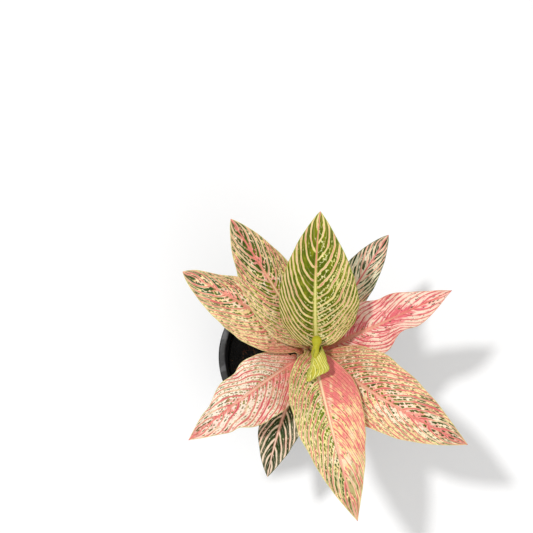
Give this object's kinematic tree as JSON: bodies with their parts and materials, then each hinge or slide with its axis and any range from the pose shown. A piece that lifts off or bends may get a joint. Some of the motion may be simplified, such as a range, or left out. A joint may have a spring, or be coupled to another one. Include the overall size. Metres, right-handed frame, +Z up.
{
  "type": "potted chinese evergreen",
  "caption": "Potted chinese evergreen: pink, cream and green patterned leaves on upright stalks round a short leaning cane, in a round black nursery pot filled with soil",
  "frame": {"origin": "centre of the pot's underside, on the plane it stands on", "axes": "+Z up, along the pot's axis; +X towards the plant's right and +Y towards its back, where the tallest leaf stands"},
  "size_m": [0.1954, 0.2054, 0.2975],
  "materials": {
    "black_plastic": "satin",
    "dark_soil": "matt, crumbly",
    "cane": "satin",
    "green_leaf": "semi-gloss",
    "cream_pink_leaf": "semi-gloss",
    "rose_leaf": "semi-gloss",
    "dark_leaf": "semi-gloss",
    "lime_leaf": "semi-gloss"
  },
  "bodies": {
    "root": {"pot": "black_plastic", "soil": "dark_soil", "stem": "cane", "leaf_back": "green_leaf", "leaf_back_left": "cream_pink_leaf", "leaf_left": "cream_pink_leaf", "leaf_front_left": "cream_pink_leaf", "leaf_front_low": "dark_leaf", "leaf_front": "cream_pink_leaf", "leaf_front_right": "cream_pink_leaf", "leaf_right": "rose_leaf", "leaf_back_low": "dark_leaf", "new_leaf": "lime_leaf"}
  },
  "joints": []
}
